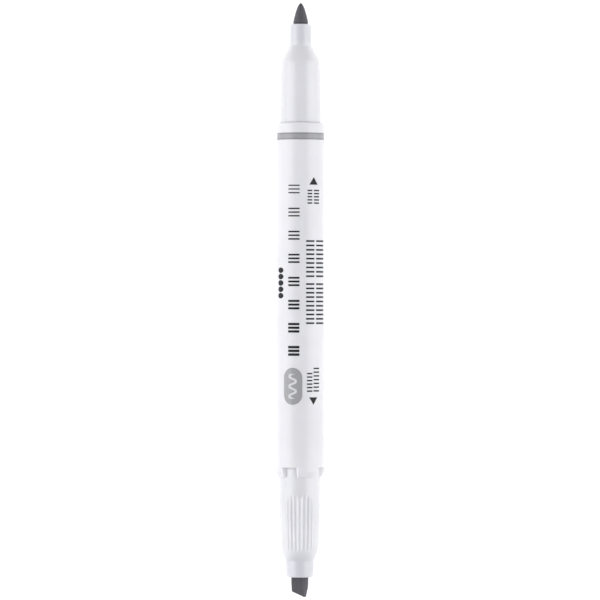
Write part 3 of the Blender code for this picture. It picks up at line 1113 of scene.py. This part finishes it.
class MARKER_OT_sections(bpy.types.Operator):
    """Make the smooth fine section and the ribbed bold section"""

    bl_idname = "marker.sections"
    bl_label = "Sections"

    def execute(self, context):
        sizes = context.scene.marker_section
        nibs = context.scene.marker_nibs
        # Painted shade near both mouths, for the dark nib seen through the thin wall
        mouth_shade_from, mouth_shade_to = 54.0 * MM, 57.0 * MM
        thin = (tuple(sizes.mouth_shade_colour), mouth_shade_from, mouth_shade_to)
        plastic = moulded_plastic("section_plastic", sizes, thin)
        fine = make_fine_section(sizes, nibs, plastic)
        hand_over(fine, "section_plastic", "fine_section")
        bold = make_bold_section(sizes, nibs, plastic)
        hand_over(bold, "section_plastic", "bold_section")
        return {"FINISHED"}


class MARKER_OT_nibs(bpy.types.Operator):
    """Make the bullet nib and the chisel nib"""

    bl_idname = "marker.nibs"
    bl_label = "Nibs"

    def execute(self, context):
        nibs = context.scene.marker_nibs
        dry, wet_and_shade = tuple(nibs.felt), tuple(nibs.wet_and_shade_felt)
        soaked = (BULLET_TIP - 1.2 * MM, BULLET_TIP)
        bullet_felt = inked_felt("bullet_felt", dry, wet_and_shade, soaked, FINE_MOUTH)
        fuller = toned(dry, nibs.chisel_tone)
        soaked = (-CHISEL_TIP - 1.0 * MM, -CHISEL_TIP - 0.2 * MM)
        chisel_felt = inked_felt(
            "chisel_felt", fuller, wet_and_shade, soaked, -BOLD_MOUTH, nibs.chisel_roll
        )
        hand_over(make_bullet_nib(nibs, bullet_felt), "nib_felt", "bullet_nib")
        hand_over(make_chisel_nib(nibs, chisel_felt), "nib_felt", "chisel_nib")
        return {"FINISHED"}


class MARKER_OT_reservoir(bpy.types.Operator):
    """Give the ink reservoir inside the marker its fibre and its film"""

    bl_idname = "marker.reservoir"
    bl_label = "Reservoir"

    def execute(self, context):
        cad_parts["reservoir_core"].material_slots[0].material = reservoir_fibre()
        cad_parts["reservoir_wrap"].material_slots[0].material = reservoir_film()
        return {"FINISHED"}


class MARKER_OT_print(bpy.types.Operator):
    """Print plain marks on the barrel: a band, lines, dots, ticks, arrows and a badge"""

    bl_idname = "marker.print"
    bl_label = "Print"

    def execute(self, context):
        sizes = context.scene.marker_print
        barrel = context.scene.marker_barrel
        black = printed_ink("print_black", tuple(sizes.black))
        grey = printed_ink("print_grey", tuple(sizes.grey), sizes.grey_gloss)
        pale = printed_ink("print_pale", tuple(sizes.pale))
        band_high = FINE_RIM - sizes.band_start
        borders = (band_high - sizes.band_width, band_high)
        ring = printed_ink("print_band", tuple(sizes.grey), sizes.grey_gloss, borders)
        slot = "barrel_plastic"
        hand_over(make_band(sizes, barrel, ring), slot)

        dots = Row(ellipse(1.2, 1.9), across=4.99, first=32.05, marks=5, pitch=1.38)
        to_fine = Row(arrow(1.65, 2.15, 1), across=-3.06, first=12.72)
        to_bold = Row(arrow(1.6, 2.05, -1), across=-3.06, first=60.35)
        badge = Row(capsule(8.0, 4.26), across=1.66, first=57.16)
        ribbon = badge._replace(outline=wave(5.4, 0.7, 0.5), lift=0.008)
        pieces = {
            "print_hatches": (black, hatch_rows(sizes.hatches)),
            "print_dots": (black, [dots]),
            "print_ticks": (black, tick_rows()),
            "print_arrows": (black, [to_fine, to_bold]),
            "print_badge": (grey, [badge]),
            "print_wave": (pale, [ribbon]),
        }
        for name, (ink, rows) in pieces.items():
            hand_over(print_rows(name, sizes, barrel, ink, rows), slot)
        return {"FINISHED"}


class MARKER_OT_stage(bpy.types.Operator):
    """Set up the pale floor, the soft lights and the camera"""

    bl_idname = "marker.stage"
    bl_label = "Stage"

    def execute(self, context):
        settings = context.scene.marker_stage
        add_floor(settings.floor_glow)
        add_sky(settings.zenith, settings.horizon)
        add_light("left_light", 1, settings.light_height, settings.left_light)
        add_light("right_light", -1, settings.light_height, settings.right_light)
        add_camera(settings)
        context.scene.view_settings.view_transform = "Standard"
        return {"FINISHED"}


class MARKER_PT_panel(bpy.types.Panel):
    """Lists the marker's pieces with their sizes"""

    bl_idname = "MARKER_PT_panel"
    bl_label = "Felt tip marker"
    bl_space_type = "VIEW_3D"
    bl_region_type = "UI"
    bl_category = "Marker"

    def draw(self, context):
        for operator, name, _ in PIECES:
            box = self.layout.box()
            box.operator(operator.bl_idname)
            if name:
                settings = getattr(context.scene, name)
                for size in settings.__annotations__:
                    box.prop(settings, size)


# Each piece's operator, and where its sizes are kept
PIECES = (
    (MARKER_OT_barrel, "marker_barrel", BarrelSizes),
    (MARKER_OT_sections, "marker_section", SectionSizes),
    (MARKER_OT_nibs, "marker_nibs", NibSizes),
    (MARKER_OT_reservoir, None, None),
    (MARKER_OT_print, "marker_print", PrintSizes),
    (MARKER_OT_stage, "marker_stage", StageSettings),
)


def register():
    for operator, name, group in PIECES:
        bpy.utils.register_class(operator)
        if group:
            bpy.utils.register_class(group)
            setattr(bpy.types.Scene, name, PointerProperty(type=group))
    bpy.utils.register_class(MARKER_PT_panel)


def unregister():
    bpy.utils.unregister_class(MARKER_PT_panel)
    for operator, name, group in reversed(PIECES):
        if group:
            delattr(bpy.types.Scene, name)
            bpy.utils.unregister_class(group)
        bpy.utils.unregister_class(operator)


def main():
    register()
    bpy.ops.marker.barrel()
    bpy.ops.marker.sections()
    bpy.ops.marker.nibs()
    bpy.ops.marker.reservoir()
    bpy.ops.marker.print()
    bpy.ops.marker.stage()


if __name__ == "__main__":
    main()
